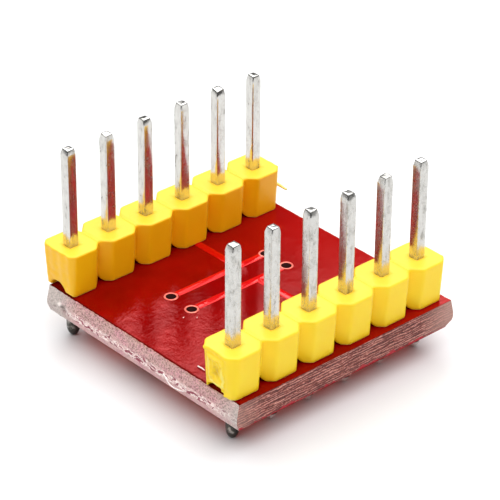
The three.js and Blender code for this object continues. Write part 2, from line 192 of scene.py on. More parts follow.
def new_material(name, roughness, metallic=0.0, **constants):
    """A material, its node tree and its shader. Other settings are named after their sockets."""
    material = bpy.data.materials.new(name)
    material.use_nodes = True
    shader = material.node_tree.nodes["Principled BSDF"]
    shader.inputs["Roughness"].default_value = roughness
    shader.inputs["Metallic"].default_value = metallic
    for key, value in constants.items():
        shader.inputs[key.replace("_", " ")].default_value = value
    return material, material.node_tree, shader


def place_mm(tree, stretch=(1, 1, 1)):
    """The surface point in millimetres, stretched for long or short grain."""
    coordinates = node(tree, "ShaderNodeTexCoord")
    scale = [1000 * s for s in stretch]
    mapped = node(tree, "ShaderNodeMapping",
                  {"Vector": coordinates.outputs["Object"], "Scale": scale})
    return mapped.outputs["Vector"]


def tree_of(*values):
    """The node tree of the first node socket among the values."""
    return next(v for v in values if isinstance(v, bpy.types.NodeSocket)).id_data


Axes = namedtuple("Axes", "x y z")


def split(vector):
    parts = node(tree_of(vector), "ShaderNodeSeparateXYZ", {"Vector": vector})
    return Axes(*parts.outputs)


def grain(vector, scale, detail=3.0, rough=0.5, distortion=0.0):
    """Soft noise from 0 to 1, with about so many lumps to a millimetre."""
    made = node(tree_of(vector), "ShaderNodeTexNoise", {
        "Vector": vector, "Scale": scale, "Detail": detail, "Roughness": rough,
        "Distortion": distortion,
    })
    return made.outputs["Fac"]


def ramp(value, stops):
    """A colour for each value from 0 to 1, between stops of a place and a colour."""
    made = node(tree_of(value), "ShaderNodeValToRGB", {"Fac": value})
    elements = made.color_ramp.elements
    while len(elements) < len(stops):
        elements.new(0.5)
    for element, (position, colour) in zip(elements, stops):
        element.position = position
        element.color = (*colour, 1)
    return made.outputs["Color"]


def grey(value, stops):
    return ramp(value, [(position, (level,) * 3) for position, level in stops])


def blend(factor, first, second, mode="MIX"):
    made = node(tree_of(factor, first), "ShaderNodeMix", {0: factor}, data_type="RGBA",
                blend_type=mode)
    for key, value in ((6, first), (7, second)):
        if isinstance(value, bpy.types.NodeSocket):
            made.id_data.links.new(value, made.inputs[key])
        else:
            made.inputs[key].default_value = (*value, 1)
    return made.outputs[2]


def maths(operation, first, second=0.0, clamp=False):
    made = node(tree_of(first, second), "ShaderNodeMath", {0: first, 1: second},
                operation=operation)
    made.use_clamp = clamp
    return made.outputs[0]


def plus(first, second, clamp=False):
    return maths("ADD", first, second, clamp)


def minus(first, second, clamp=False):
    return maths("SUBTRACT", first, second, clamp)


def times(first, second, clamp=False):
    return maths("MULTIPLY", first, second, clamp)


def fade(value, start, rate):
    """0 up to a start, then rising at a rate to 1. A negative rate rises the other way."""
    return times(minus(value, start), rate, clamp=True)


def lesser(first, second):
    return maths("MINIMUM", first, second)


def distance(point, spot):
    away = node(tree_of(point), "ShaderNodeVectorMath", {0: point, 1: spot}, operation="DISTANCE")
    return away.outputs["Value"]


def bump(shader, height, depth_mm):
    made = node(tree_of(height), "ShaderNodeBump", {"Height": height, "Distance": depth_mm * MM})
    link(made.outputs["Normal"], shader, "Normal")


def link(output, shader, socket):
    tree_of(output).links.new(output, shader.inputs[socket])


# ---- Materials --------------------------------------------------------------------------------


# The colour of the painted glow on the board's lower face, standing in for red bounced light.
PAINTED_BOUNCE_GLOW = (0.34, 0.095, 0.082)
TONE_STOPS = (0.3, 0.7)
CALM_FROM = -3.4
CALM_RATE = 0.45
CALM_SHARE = 0.8
RIPPLE_MIDDLE = 0.95
VALLEY_ACROSS = ((0.80, 0.0), (1.95, 1.0), (2.17, 0.0))
VALLEY_SPAN = 4.0
VALLEY_ENDS = (-3.5, 1.6)
VALLEY_DEPTH = 1.8


def lacquer_valley(axes):
    """How deep the lacquer sags between the two tracks, in ripples. A ramp runs from 0 to 1, so
    the places across the valley are taken as shares of a wider span."""
    valley = grey(maths("DIVIDE", axes.y, VALLEY_SPAN),
                  [(y / VALLEY_SPAN, share) for y, share in VALLEY_ACROSS])
    start = minus(axes.x, VALLEY_ENDS[0], clamp=True)
    end = minus(VALLEY_ENDS[1], axes.x, clamp=True)
    valley = times(valley, times(start, end))
    return times(valley, VALLEY_DEPTH)


def solder_mask_material(name, deep, bright, pale, ripple_mm=0.013, painted_glow=0.0, gloss=0.05):
    """Glossy red lacquer over woven glass: a tinted sheen, a faint weave and fine ripples. The
    lower face has a painted glow, which stands in for red light bounced under the board."""
    material, tree, shader = new_material(name, 0.16, 0.2, IOR=1.5, Specular_IOR_Level=gloss)
    point = place_mm(tree)
    patches = grain(point, 0.35, 4.0, 0.6)
    colour = ramp(patches, [(0.35, deep), (0.7, bright)])
    axes = split(point)
    # Paler towards one end, as the caller gives it: at the board's far end this is a painted
    # reflection of light.
    pale_axis, pale_start, pale_rate, pale_colour = pale
    pale_share = fade(getattr(axes, pale_axis), pale_start, pale_rate)
    colour = blend(pale_share, colour, pale_colour)
    # Painted shade: the lacquer is darker within about a tenth of a millimetre of the near edge,
    # where it slopes away; it is rougher there too.
    from_edge = minus(axes.x, BOARD_CENTRE[0] - UPPER_HALF_X)
    from_edge = minus(from_edge, times(grain(point, 1.8, 3.0), 0.10))
    rim = grey(from_edge, [(0.06, 1.0), (0.10, 0.0)])
    colour = blend(rim, colour, tuple(0.62 * c for c in deep))
    link(colour, shader, "Base Color")
    peel = grain(point, 1.5, 3.0, 0.5, 0.8)
    fibres = grain(place_mm(tree, (1.0, 3.2, 1)), 1.7, 4.0, 0.6, 1.2)
    weave = grain(place_mm(tree, (3.0, 0.9, 1)), 1.3, 3.0, 0.6)
    height = plus(times(fibres, 0.55), peel)
    height = plus(times(weave, 0.35), height)
    calm = times(fade(axes.x, CALM_FROM, CALM_RATE), CALM_SHARE)
    height = times(minus(height, RIPPLE_MIDDLE), minus(1.0, calm))
    if not painted_glow:
        height = minus(height, lacquer_valley(axes))
    bump(shader, height, ripple_mm)
    scuffs = grain(place_mm(tree, (3, 3, 1)), 2.2, 5.0, 0.7)
    shine = grey(scuffs, [(0.3, 0.05), (0.75, 0.12)])
    link(plus(shine, rim, clamp=True), shader, "Roughness")
    # Painted glow: an emission that stands in for red light bounced off the board onto the floor
    # beneath.
    shader.inputs["Emission Color"].default_value = (*PAINTED_BOUNCE_GLOW, 1)
    shader.inputs["Emission Strength"].default_value = painted_glow
    return material


# The dent in the snapped edge, painted on: a painted highlight and a painted shade, each with its
# middle and radius.
DENT_HIGHLIGHT_AND_SHADE = (
    ((-7.52, 6.26, 2.34), 0.22, (0.92, 0.84, 0.80)),
    ((-7.45, 5.98, 2.22), 0.24, (0.20, 0.16, 0.14)),
)


def snapped_edge_material():
    """Glass-fibre laminate that was scored and snapped: a grainy grey-pink bevel, a torn ridge of
    white threads round dark magenta slits, and a paler lower bevel with a dark red rim."""
    material, tree, shader = new_material("laminate_snapped", 0.75)
    point = place_mm(tree)
    axes = split(point)
    depth = minus(BOARD_TOP - 0.10, axes.z)
    wander = times(grain(point, 1.6, 4.0, 0.65), 0.20)
    share = maths("DIVIDE", plus(depth, wander), 1.52, clamp=True)
    fine = grain(place_mm(tree, (1, 0.85, 1.1)), 11.0, 2.0, 0.8)
    speckle = ramp(fine, [
        (0.36, (0.34, 0.27, 0.25)), (0.48, (0.82, 0.77, 0.76)), (0.62, (1.10, 1.08, 1.08))])
    bevel = ramp(share, [
        (0.03, (0.58, 0.32, 0.26)), (0.06, (0.66, 0.42, 0.385)), (0.45, (0.66, 0.43, 0.405)),
        (0.74, (0.74, 0.49, 0.46)), (0.92, (0.80, 0.53, 0.50)),
    ])
    blotch = grey(grain(place_mm(tree, (1, 0.7, 1.2)), 1.5, 4.0, 0.7), [(0.46, 0.0), (0.62, 0.7)])
    bevel = blend(blotch, bevel, (0.74, 0.36, 0.42))
    upper = grey(share, [(0.60, 1.0), (0.72, 0.35)])
    shaded = blend(upper, bevel, speckle, "MULTIPLY")
    threads = grain(place_mm(tree, (1, 1.0, 2.4)), 2.3, 2.5, 0.5, 0.7)
    rope = ramp(threads, [
        (0.42, (0.74, 0.48, 0.46)), (0.47, (1.0, 0.86, 0.82)), (0.515, (1.0, 0.82, 0.78)),
        (0.54, (0.50, 0.17, 0.20)), (0.62, (0.33, 0.07, 0.10)),
    ])
    torn = grey(share, [(0.42, 0.0), (0.49, 1.0), (0.68, 1.0), (0.76, 0.0)])
    shaded = blend(torn, shaded, rope)
    chalky = plus(fade(axes.y, 4.9, 0.7), fade(axes.y, -5.9, -0.5))
    chalk = ramp(fine, [(0.38, (0.44, 0.39, 0.355)), (0.58, (0.66, 0.60, 0.56))])
    shaded = blend(times(chalky, 0.85), shaded, chalk)
    # Painted highlight and painted shade of the dent.
    for spot, radius, tint in DENT_HIGHLIGHT_AND_SHADE:
        mark = grey(distance(point, spot), [(0.4 * radius, 0.85), (radius, 0.0)])
        shaded = blend(mark, shaded, tint)
    rim = plus(share, fade(axes.y, -4.8, -0.04))
    rim = plus(rim, times(grain(point, 2.2, 3.0, 0.6), 0.16))
    shaded = blend(grey(rim, [(1.05, 0.0), (1.08, 1.0)]), shaded, (0.36, 0.05, 0.05))
    link(shaded, shader, "Base Color")
    slits = times(torn, grey(threads, [(0.53, 0.0), (0.60, 1.0)]))
    bump(shader, minus(times(fine, 0.5), slits), 0.028)
    return material


def layered_edge_material():
    """Glass-fibre laminate cut across its layers: many fine brown and pink lines, smoother and
    paler towards the far end, with red lacquer smeared along the bottom."""
    material, tree, shader = new_material("laminate_layers", 0.6)
    point = place_mm(tree)
    axes = split(point)
    drift = grain(place_mm(tree, (0.5, 0.5, 2.0)), 1.6, 3.0, 0.6)
    phase = plus(times(axes.z, 42.0), times(drift, 14.0))
    layers = times(maths("SINE", phase), 0.5)
    lines = grain(place_mm(tree, (0.34, 0.34, 5.4)), 2.8, 1.0, 0.5)
    threads = grain(place_mm(tree, (1.2, 1.2, 4.4)), 4.0, 3.0, 0.75)
    both = plus(times(layers, 0.18), times(lines, 0.35))
    both = plus(both, times(threads, 0.65))
    colour = ramp(both, [
        (0.40, (0.075, 0.010, 0.007)), (0.475, (0.19, 0.037, 0.027)),
        (0.54, (0.34, 0.085, 0.064)), (0.61, (0.70, 0.32, 0.26)),
    ])
    tone = grain(point, 0.5, 2.0)
    colour = blend(grey(tone, [(0.45, 0.0), (0.6, 0.25)]), colour, (0.70, 0.60, 0.55), "MULTIPLY")
    ends = plus(fade(axes.x, 5.2, 0.45), fade(axes.x, -5.6, -0.35))
    colour = blend(times(ends, 0.8), colour, (0.52, 0.30, 0.25))
    depth = minus(BOARD_TOP, axes.z)
    wander = times(grain(place_mm(tree, (1, 1, 0.2)), 1.3, 4.0, 0.6), 0.55)
    smear = grey(grain(place_mm(tree, (1, 1, 0.3)), 0.75, 4.0, 0.6),
                 [(0.44, 0.0), (0.52, 0.10), (0.66, 0.34)])
    low = fade(plus(depth, smear), 1.51, 16.0)
    colour = blend(low, colour, (0.46, 0.010, 0.022))
    high = fade(plus(depth, wander), 0.24, -12.0)
    colour = blend(times(high, 0.8), colour, (0.30, 0.035, 0.022))
    link(colour, shader, "Base Color")
    bump(shader, both, 0.06)
    return material


SCAR_HALF_WIDTH = 0.58
SCAR_SHIFT = 0.02
SCAR_LOW = 0.55
SCAR_HIGH = 2.2
SCAR_PIT = (-7.6, -6.19, 4.34)


def paint_scar_highlight_and_shade(point, skin):
    """The torn end of the right strip: a painted highlight on the raised rim round the scar and
    painted shade in its pit.
    """
    axes = split(point)
    row_y = float(PIN_CENTRES[("right", 1)][1])
    across = maths("ABSOLUTE", minus(axes.y, row_y + SCAR_SHIFT))
    height = minus(axes.z, BOARD_TOP)
    border = lesser(minus(height, SCAR_LOW), minus(SCAR_HIGH, height))
    border = lesser(minus(SCAR_HALF_WIDTH, across), border)
    wander = minus(grain(point, 3.0, 3.0, 0.6), 0.5)
    border = plus(border, times(wander, 0.16))
    at_end = times(fade(axes.x, -7.3, -10.0), maths("LESS_THAN", axes.y, 0.0))
    # Painted highlight on the scar's raised rim.
    rim = times(grey(border, [(0.0, 0.0), (0.04, 0.7), (0.10, 0.7), (0.18, 0.0)]),
                grey(grain(point, 1.1, 2.0), [(0.42, 0.15), (0.56, 1.0)]))
    skin = blend(times(rim, at_end), skin, (1.0, 0.88, 0.22))
    # Painted shade in the scar's pit.
    spread = plus(distance(point, SCAR_PIT), times(wander, 0.5))
    pit = grey(spread, [(0.12, 0.75), (0.34, 0.0)])
    return blend(times(pit, at_end), skin, (0.58, 0.33, 0.003))


def housing_material(name, painted_side_colours, painted_top_colours):
    """Moulded yellow plastic, a little translucent, with a fine satin grain. Its colour is painted
    lighter or darker by which way a face points, as light and shade, and its torn end carries
    a painted highlight and painted shade.
    """
    material, tree, shader = new_material(
        name, 0.45, IOR=1.45, Subsurface_Weight=0.1, Subsurface_Scale=0.0005,
        Specular_IOR_Level=0.45)
    shader.inputs["Subsurface Radius"].default_value = (1.0, 0.55, 0.12)
    point = place_mm(tree)
    tone = grain(point, 0.6, 3.0)
    sides = ramp(tone, list(zip(TONE_STOPS, painted_side_colours)))
    top = ramp(tone, list(zip(TONE_STOPS, painted_top_colours)))
    # Painted light and shade: faces that point up take the top colours, faces that point sideways the
    # side colours.
    facing = split(node(tree, "ShaderNodeNewGeometry").outputs["Normal"])
    painted_facing_up = grey(facing.z, [(0.25, 0.0), (0.85, 1.0)])
    flash = fade(split(point).z, BOARD_TOP + 0.09, -16.0)
    skin = blend(painted_facing_up, sides, top)
    skin = paint_scar_highlight_and_shade(point, skin)
    link(blend(flash, skin, (1.0, 0.82, 0.30)), shader, "Base Color")
    fine = grain(point, 9.0, 4.0, 0.6)
    soft = grain(point, 1.2, 2.0)
    bump(shader, plus(times(fine, 0.18), soft), 0.01)
    link(grey(fine, [(0.3, 0.36), (0.7, 0.5)]), shader, "Roughness")
    return material


def pin_material(name, shine, roughness):
    """Tin plating: a fairly clean mirror with lengthwise marks, pits and grey scuffs."""
    material, tree, shader = new_material(name, roughness, 0.92)
    point = place_mm(tree)
    scuffs = grain(place_mm(tree, (2.4, 2.4, 0.8)), 1.6, 6.0, 0.72, 0.5)
    pits = grain(point, 7.0, 3.0, 0.6)
    tarnish = plus(times(scuffs, 0.75), times(pits, 0.25))
    tones = [(0.34, (0.26, 0.25, 0.23)), (0.41, (0.50, 0.49, 0.46)),
             (0.50, (0.63, 0.62, 0.59)), (0.64, (0.70, 0.69, 0.66))]
    colour = ramp(tarnish, [(at, tuple(shine * c for c in tone)) for at, tone in tones])
    link(colour, shader, "Base Color")
    drawn = grain(place_mm(tree, (5, 5, 0.6)), 1.0, 4.0, 0.6)
    link(grey(tarnish, [(0.35, roughness + 0.16), (0.6, roughness - 0.05)]), shader, "Roughness")
    height = plus(drawn, times(pits, 0.5))
    bump(shader, height, 0.004)
    return material


def solder_material(name, shaded_above):
    """Solder: a shiny mottled skin that stays bright below a height and is dark above it, painted
    shade under the board.
    """
    material, tree, shader = new_material(name, 0.2, 1.0)
    point = place_mm(tree)
    patches = grain(point, 2.4, 4.0)
    dark = ramp(patches, [
        (0.34, (0.03, 0.028, 0.025)), (0.56, (0.09, 0.085, 0.075)), (0.66, (0.36, 0.34, 0.31))])
    bright = ramp(patches, [(0.3, (0.84, 0.82, 0.78)), (0.7, (0.95, 0.93, 0.90))])
    axes = split(point)
    edge = plus(axes.z, times(patches, 0.1))
    link(blend(fade(edge, shaded_above, 16.0), bright, dark), shader, "Base Color")
    link(grey(patches, [(0.3, 0.06), (0.7, 0.3)]), shader, "Roughness")
    bump(shader, patches, 0.05)
    return material


def two_tone_material(name, roughness, grain_settings, tones, bump_mm=0.0, metallic=0.0,
                      stretch=(1, 1, 1), **constants):
    """Two close tones mixed by one grain, which may raise the surface too."""
    material, tree, shader = new_material(name, roughness, metallic, **constants)
    tone = grain(place_mm(tree, stretch), *grain_settings)
    link(ramp(tone, list(zip(TONE_STOPS, tones))), shader, "Base Color")
    if bump_mm:
        bump(shader, tone, bump_mm)
    return material


# The board's far end is paler, a painted reflection of the light there, and so is the track's stub,
# each from a place on and at a rate.
FAR_END_PAINTED_LIGHT = ("x", 1.0, 0.19, (0.32, 0.003, 0.002))
PALE_STUB = ("y", 2.4, 1.6, (0.52, 0.001, 0.001))
MASK = solder_mask_material(
    "solder_mask", (0.19, 0.0003, 0.0002), (0.27, 0.001, 0.001), FAR_END_PAINTED_LIGHT)
MASK_BELOW = solder_mask_material(
    "solder_mask_below", (0.24, 0.0008, 0.0006), (0.33, 0.002, 0.002), FAR_END_PAINTED_LIGHT, painted_glow=1.0)
MASK_OVER_COPPER = solder_mask_material(
    "mask_over_copper", (0.54, 0.003, 0.003), (0.66, 0.005, 0.006), PALE_STUB, gloss=0.19)
SNAPPED = snapped_edge_material()
LAYERS = layered_edge_material()
# The strips are painted apart: the left strip's sides darker, as painted shade, and the right strip's
# sides lighter, as painted light.
YELLOW = {
    "left": housing_material(
        "housing_left_painted_shade", ((0.96, 0.505, 0.0015), (0.98, 0.545, 0.003)),
        ((0.95, 0.57, 0.028), (0.97, 0.61, 0.036))),
    "right": housing_material(
        "housing_right_painted_light", ((1.0, 0.675, 0.008), (1.0, 0.720, 0.012)),
        ((0.95, 0.585, 0.033), (0.97, 0.62, 0.040))),
}
TIN = {
    "left": pin_material("pin_tin_bright", 1.0, 0.16),
    "right": pin_material("pin_tin_dull", 0.92, 0.22),
}
# Lit and shaded copies of solder: one dark all over as painted shade, one dark only above a height.
SOLDER_SHADED = solder_material("solder_shaded", 0.0)
SOLDER_BRIGHT = solder_material("solder_bright", 0.42)
# Bare copper rings with a salmon film of flux, and the inside of a via, painted near black as the
# shade in the hole.
COPPER = two_tone_material(
    "copper_ring", 0.32, (3.5, 4.0), ((0.72, 0.10, 0.07), (0.95, 0.26, 0.20)), 0.008, 0.35)
HOLE_SHADE = two_tone_material(
    "via_barrel_shade", 0.6, (4.0, 3.0), ((0.020, 0.004, 0.004), (0.05, 0.012, 0.010)), 0.01,
    Specular_IOR_Level=0.1)
CHIP = two_tone_material(
    "chip_black", 0.62, (14.0, 4.0, 0.7), ((0.012, 0.012, 0.013), (0.030, 0.030, 0.032)), 0.012,
    IOR=1.5)
LEAD = two_tone_material(
    "lead_tin", 0.35, (6.0, 4.0, 0.6), ((0.52, 0.52, 0.51), (0.76, 0.76, 0.74)), 0.008, 1.0)
CERAMIC = two_tone_material(
    "ceramic_tan", 0.5, (7.0, 5.0, 0.7), ((0.30, 0.19, 0.10), (0.42, 0.29, 0.16)), 0.01)
GLAZE = two_tone_material(
    "resistor_glaze", 0.28, (5.0, 4.0, 0.6), ((0.010, 0.010, 0.012), (0.022, 0.022, 0.026)), 0.01)
# Loose white glass fibre, and a pale stretched thread of the yellow plastic.
GLASS = two_tone_material(
    "glass_fibre", 0.4, (5.0, 3.0), ((0.86, 0.76, 0.74), (0.97, 0.92, 0.90)), 0.01)
PALE_THREAD = two_tone_material(
    "thread_yellow", 0.5, (3.0, 3.0), ((0.97, 0.78, 0.16), (1.0, 0.88, 0.30)))
# Solder spread on a pad: soft and silvery with a slight ripple.
PAD_SOLDER = two_tone_material(
    "pad_solder", 0.28, (3.0, 4.0, 0.6), ((0.50, 0.50, 0.49), (0.72, 0.72, 0.70)), 0.02, 1.0)
FLOOR = two_tone_material(
    "floor_white", 0.6, (1.0, 2.0), ((0.66, 0.66, 0.665), (0.675, 0.675, 0.68)),
    stretch=(0.05, 0.05, 0.05))


CHIP_PARTS = {
    "supply_capacitor": CERAMIC, "charge_pump_capacitor": CERAMIC, "regulator_capacitor": CERAMIC,
    "sense_resistor_a": GLAZE, "sense_resistor_b": GLAZE, "pull_up_resistor": GLAZE,
}


# ---- Header pins ------------------------------------------------------------------------------

PIN_ROUND = 0.07
PIN_ROUND_STEPS = 4
TIP_TAPER = 0.38
TIP_SHARE = 0.74
TAIL_TAPER = 1.2
TAIL_SHARE = 0.4
SHAFT_RINGS = 42
TIP_RINGS = 9
SHAFT_WAVER = 0.008
TIP_CREST = 0.05
TIP_INNER_RINGS = ((0.90, 0.014), (0.5, 0.018), (0.2, 0.012))


def rounded_square(half, corner):
    """Points round a square of that half width, counter-clockwise."""
    points = []
    for quarter in range(4):
        middle = (quarter + 0.5) * math.pi / 2
        cx = math.copysign(half - corner, math.cos(middle))
        cy = math.copysign(half - corner, math.sin(middle))
        for step in range(PIN_ROUND_STEPS):
            angle = quarter * math.pi / 2 + step / (PIN_ROUND_STEPS - 1) * math.pi / 2
            points.append((cx + corner * math.cos(angle), cy + corner * math.sin(angle)))
    return np.array(points)


def make_pin(side, number):
    """A square pin with a bent, worn tip and a tapered tail, no two quite alike."""
    key = (side, number)
    low, high = PIN_BOXES[key]
    cx, cy, _ = PIN_CENTRES[key]
    half = (high[0] - low[0]) / 2
    seed = number + 10 * SIDES.index(side)
    dice = random.Random(seed)
    outline = rounded_square(half, PIN_ROUND)
    tip_start = high[2] - TIP_TAPER * dice.uniform(0.85, 1.1)
    tip = high[2] - dice.uniform(0.0, 0.05)
    heights = list(np.linspace(low[2], tip_start, SHAFT_RINGS))
    heights += list(np.linspace(tip_start, tip, TIP_RINGS)[1:])
    pull = np.array([dice.uniform(-0.03, 0.03), dice.uniform(-0.03, 0.03)])
    rings = []
    for z in heights:
        t = max(0.0, (z - tip_start) / (tip - tip_start))
        tail = max(0.0, (TAIL_TAPER - z) / (TAIL_TAPER - low[2]))
        share = (1 - (1 - TIP_SHARE) * t ** 1.25) * (1 - (1 - TAIL_SHARE) * tail)
        ring = outline * share + pull * t
        waver = [1 + SHAFT_WAVER * smooth_noise(x * 6, y * 6, z * 1.4, seed) for x, y in outline]
        ring = ring * np.array(waver)[:, None]
        rings.append(np.column_stack([ring[:, 0], ring[:, 1], np.full(len(ring), z)]))
    top = rings[-1]
    crest = np.array([smooth_noise(x * 4, y * 4, 0, seed + 0.5) for x, y, _ in top])
    slope = np.array([dice.uniform(-0.10, 0.10), dice.uniform(-0.10, 0.10)])
    top[:, 2] += top[:, :2] @ slope + TIP_CREST * crest
    top[:, 2] = np.minimum(top[:, 2], tip)
    for share, rise in TIP_INNER_RINGS:
        inner = top.copy()
        inner[:, :2] *= share
        flat = inner[:, :2] @ slope + tip
        inner[:, 2] = np.minimum(top[:, 2] * share + flat * (1 - share) + rise, high[2])
        rings.append(inner)
    points = np.concatenate(rings) + np.array([cx, cy, 0])
    faces = ring_faces(len(rings), len(outline))
    pin = add_object(f"pin_{side}_{number}", points, faces, [TIN[side]])
    return place(pin, "pin", f"header_pin_{side}_{number}")


# ---- Solder joints ----------------------------------------------------------------------------

SOLDER_SIDES = 36
SOLDER_DOME = 0.62
SOLDER_TIP = 0.06
SOLDER_FLARE = 3.2
DOME_STEPS = 8
SLEEVE_STEPS = 12


def make_solder_joint(side, number):
    """Solder on a pin tail: a rounded end, a sleeve, and a flare up to its pad."""
    low, high = box_mm(f"solder_joint_{side}_{number}")
    cx, cy = (low[:2] + high[:2]) / 2
    base = (high[0] - low[0]) / 2
    seed = 40 + number + 10 * SIDES.index(side)
    dice = random.Random(seed)
    sleeve = base * dice.uniform(0.41, 0.45)
    dome = SOLDER_DOME * dice.uniform(0.93, 1.07)
    profile = []
    for i in range(DOME_STEPS + 1):
        angle = i / DOME_STEPS * math.pi / 2
        radius = SOLDER_TIP + (sleeve - SOLDER_TIP) * math.sin(angle)
        profile.append((radius, dome * (1 - math.cos(angle))))
    rise = BOARD_UNDERSIDE - dome
    for i in range(1, SLEEVE_STEPS + 1):
        t = i / SLEEVE_STEPS
        profile.append((sleeve + (base - sleeve) * t ** SOLDER_FLARE, dome + rise * t))
    rings = []
    for radius, z in profile:
        ring = []
        for i in range(SOLDER_SIDES):
            angle = 2 * math.pi * i / SOLDER_SIDES
            swell = 1 + 0.05 * min(1.0, z / dome) * smooth_noise(
                math.cos(angle), math.sin(angle), z * 1.2, seed)
            reach = min(radius * swell, base)
            ring.append((cx + reach * math.cos(angle), cy + reach * math.sin(angle), z))
        rings.append(np.array(ring))
    points = np.concatenate(rings)
    # The left row's joints and the first right joint take the all-over painted shade.
    skin = SOLDER_SHADED if side == "left" or number == 1 else SOLDER_BRIGHT
    faces = ring_faces(len(rings), SOLDER_SIDES)
    joint = add_object(f"solder_{side}_{number}", points, faces, [skin])
    return place(joint, "solder", f"solder_joint_{side}_{number}")


# ---- Header housings --------------------------------------------------------------------------

GRID_STEP = 0.05
PITCH = 2.54
HOUSING_HEIGHT = 2.54
HALF_WIDTH_TOP = 1.29
HALF_WIDTH_FOOT = 1.12
CORNER_CUT = 0.57
EDGE_ROUND = 0.10
FOOT_ROUND = (0.40, 0.50)
VAULT_HALF_WIDTH = 0.50
VAULT_HEIGHT = 0.50
VAULT_REACH = 0.7
VAULT_CURVE = 2.4
GROOVE_DEPTH = 0.07
GROOVE_WIDTH = 0.10
END_LEAN = 0.18
FAR_LEFT_LEAN = 0.1
END_EDGE_ROUND = 0.09
FOOT_EDGE_ROUND = 0.05
END_FOOT_ROUND = (0.22, 0.30)
PIN_HOLE_HALF = 0.285
# Each burr of torn plastic: its strip, its middle and its radius.
BURRS = (
    ("right", -7.54, -5.42, 5.40, 0.09), ("right", -7.50, -5.50, 5.22, 0.07),
    ("right", -7.42, -6.62, 3.36, 0.07), ("right", -7.42, -6.80, 3.16, 0.08),
    ("left", -7.24, 5.70, 3.44, 0.06), ("left", 7.42, 5.90, 4.34, 0.10),
)
BURR_BLEND = 0.08
# The open arch in each strip's near end: its shift from the pins, half width and height.
ARCHES = {"left": (0.16, 0.60, 0.52), "right": (0.22, 0.64, 0.44)}
PIN_DISH_DEPTH = 0.05
PIN_DISH_HALF = 0.44
PIN_DISH_SLOPE = 0.12


CELL_CORNERS = list(itertools.product((0, 1), repeat=3))


class Lattice:
    """Smooth random values over space, from -1 to 1, for whole arrays of points at once."""

    def __init__(self, seed, size=32):
        self.size = size
        self.table = np.random.default_rng(seed).uniform(-1, 1, (size, size, size))

    def __call__(self, x, y, z):
        x, y, z = np.broadcast_arrays(x, y, z)
        corner = [np.floor(v).astype(int) for v in (x, y, z)]
        part = [v - c for v, c in zip((x, y, z), corner)]
        ease = [t * t * (3 - 2 * t) for t in part]
        total = np.zeros(x.shape)
        for offsets in CELL_CORNERS:
            weight = np.ones(x.shape)
            for e, d in zip(ease, offsets):
                weight = weight * (e if d else 1 - e)
            index = [(c + d) % self.size for c, d in zip(corner, offsets)]
            total += weight * self.table[tuple(index)]
        return total


def soft_max(a, b, radius):
    """The larger of two distances, with a rounded edge where they meet."""
    overlap = np.maximum(radius - abs(a - b), 0) / radius
    return np.maximum(a, b) + overlap ** 2 * radius / 4


def surface_net(field, low, high, step):
    """Points and quads of the surface where a field over space crosses zero."""
    axes = [np.arange(lo, hi + step, step) for lo, hi in zip(low, high)]
    grid = np.meshgrid(*axes, indexing="ij")
    values = field(*grid)
    sizes = values.shape
    inside = values < 0

    def corner(array, d):
        return array[tuple(slice(k, n - 1 + k) for k, n in zip(d, sizes))]

    counts = sum(corner(inside, d).astype(int) for d in CELL_CORNERS)
    active = (counts > 0) & (counts < len(CELL_CORNERS))
    total = np.zeros((int(active.sum()), 3))
    crossings = np.zeros(len(total))
    for axis in range(3):
        for d in (d for d in CELL_CORNERS if not d[axis]):
            other = tuple(v + (k == axis) for k, v in enumerate(d))
            a, b = corner(values, d)[active], corner(values, other)[active]
            crossed = (a < 0) != (b < 0)
            share = np.where(crossed, a / np.where(crossed, a - b, 1), 0)
            place_on = np.tile(np.array(d, float), (len(a), 1))
            place_on[:, axis] += share
            total += place_on * crossed[:, None]
            crossings += crossed
    cells = np.argwhere(active)
    points = np.array([axis[0] for axis in axes]) + (cells + total / crossings[:, None]) * step
    number = np.full(active.shape, -1)
    number[active] = np.arange(len(points))
    quads = []
    for axis in range(3):
        u, v = (axis + 1) % 3, (axis + 2) % 3
        here = [slice(1, n - 1) for n in sizes]
        here[axis] = slice(0, sizes[axis] - 1)
        there = list(here)
        there[axis] = slice(1, sizes[axis])
        a, b = inside[tuple(here)], inside[tuple(there)]

        def cell(du, dv):
            part = list(here)
            part[axis] = slice(0, sizes[axis] - 1)
            part[u] = slice(1 - du, sizes[u] - 1 - du)
            part[v] = slice(1 - dv, sizes[v] - 1 - dv)
            return number[tuple(part)]

        ring = np.stack([cell(1, 1), cell(0, 1), cell(0, 0), cell(1, 0)], axis=-1)
        quads.append(ring[a & ~b])
        quads.append(ring[~a & b][:, ::-1])
    return points, np.concatenate(quads)


